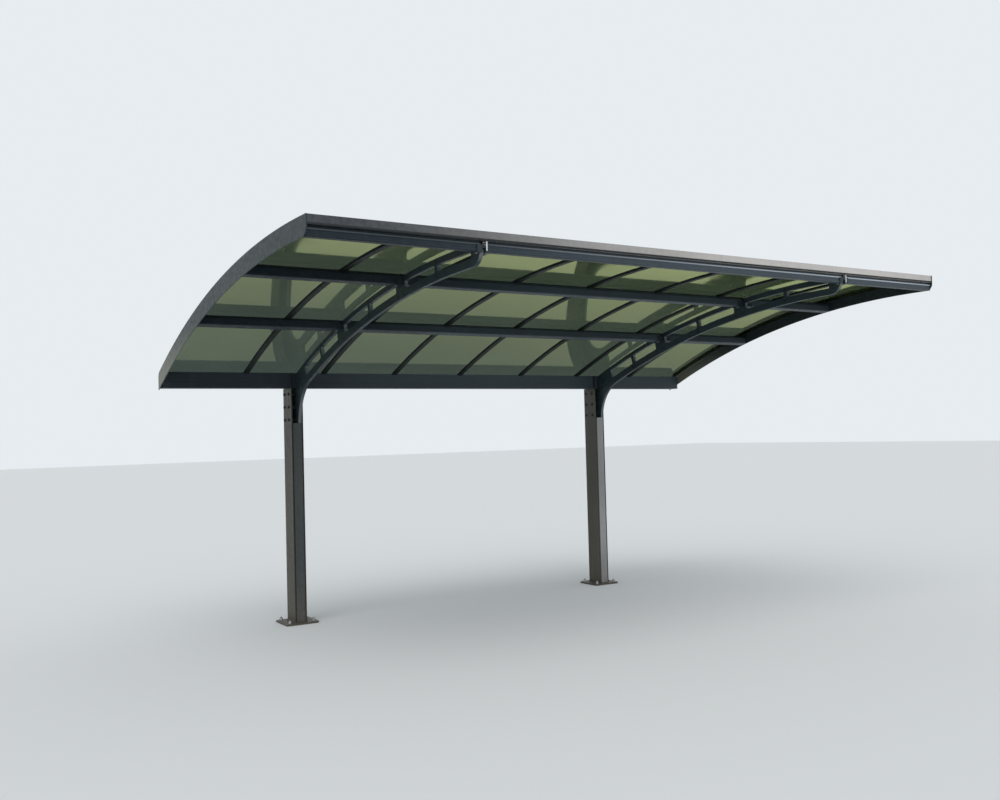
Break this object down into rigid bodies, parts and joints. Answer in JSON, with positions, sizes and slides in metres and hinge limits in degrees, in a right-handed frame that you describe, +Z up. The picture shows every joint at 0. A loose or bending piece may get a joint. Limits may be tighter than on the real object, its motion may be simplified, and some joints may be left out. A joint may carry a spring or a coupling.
{
  "type": "cantilever carport",
  "caption": "Cantilever carport: posts along the low rear edge carry slotted curved arms and a vaulted roof of smoked panels.",
  "frame": {"origin": "centre of the underside of the left post's base plate, at ground level", "axes": "+X runs along the parking bay from the left post to the right post, -Y points to the high open side where the car drives in, +Z is up"},
  "size_m": [4.96, 3.0075, 2.5152],
  "materials": {
    "frame_coating": "satin",
    "bolt_steel": "satin",
    "smoked_sheet": "gloss"
  },
  "bodies": {
    "root": {"bar_caps": "frame_coating", "front_beam_left": "frame_coating", "front_beam_middle": "frame_coating", "front_beam_right": "frame_coating", "front_cap": "frame_coating", "glazing_bar_1": "frame_coating", "glazing_bar_2": "frame_coating", "glazing_bar_3": "frame_coating", "glazing_bar_4": "frame_coating", "glazing_bar_5": "frame_coating", "glazing_bar_6": "frame_coating", "glazing_bar_7": "frame_coating", "left_arm": "frame_coating", "left_arm_cleats": "frame_coating", "left_base_plate": "frame_coating", "left_fascia": "frame_coating", "left_post": "frame_coating", "left_post_bolts": "bolt_steel", "left_post_cover": "frame_coating", "purlin_1_left": "frame_coating", "purlin_1_middle": "frame_coating", "purlin_1_right": "frame_coating", "purlin_2_left": "frame_coating", "purlin_2_middle": "frame_coating", "purlin_2_right": "frame_coating", "rear_gutter": "frame_coating", "right_arm": "frame_coating", "right_arm_cleats": "frame_coating", "right_base_plate": "frame_coating", "right_fascia": "frame_coating", "right_post": "frame_coating", "right_post_bolts": "bolt_steel", "right_post_cover": "frame_coating", "roof_panel_1": "smoked_sheet", "roof_panel_2": "smoked_sheet", "roof_panel_3": "smoked_sheet", "roof_panel_4": "smoked_sheet", "roof_panel_5": "smoked_sheet", "roof_panel_6": "smoked_sheet", "roof_panel_7": "smoked_sheet", "roof_panel_8": "smoked_sheet"}
  },
  "joints": []
}
